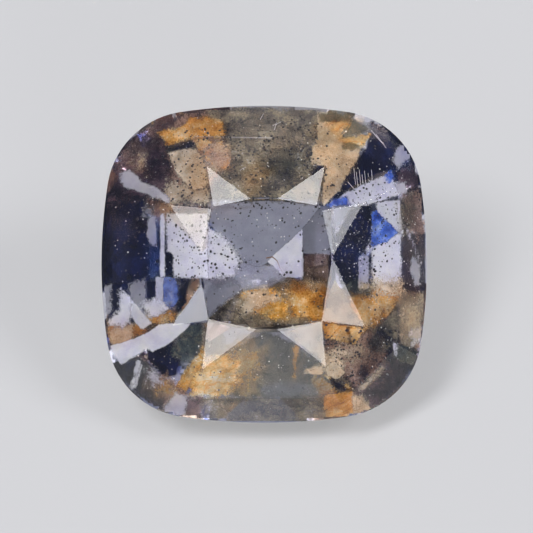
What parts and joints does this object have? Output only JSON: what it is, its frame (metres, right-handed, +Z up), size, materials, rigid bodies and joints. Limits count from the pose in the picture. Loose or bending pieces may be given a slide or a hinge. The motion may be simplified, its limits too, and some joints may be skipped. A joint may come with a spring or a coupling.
{
  "type": "faceted spinel",
  "caption": "Loose cushion-cut gemstone of clear lavender spinel with a stained cloudy inside, lying on one facet of its step-cut pavilion.",
  "frame": {"origin": "under the middle of the stone's box, on the surface that it lies on", "axes": "+X to the right across the table, +Y away from the side that the table faces, +Z up, away from the facet that the stone lies on"},
  "size_m": [0.008, 0.0062, 0.0057],
  "materials": {
    "clear_spinel": "polished facets"
  },
  "bodies": {
    "root": {"spinel": "clear_spinel"}
  },
  "joints": []
}
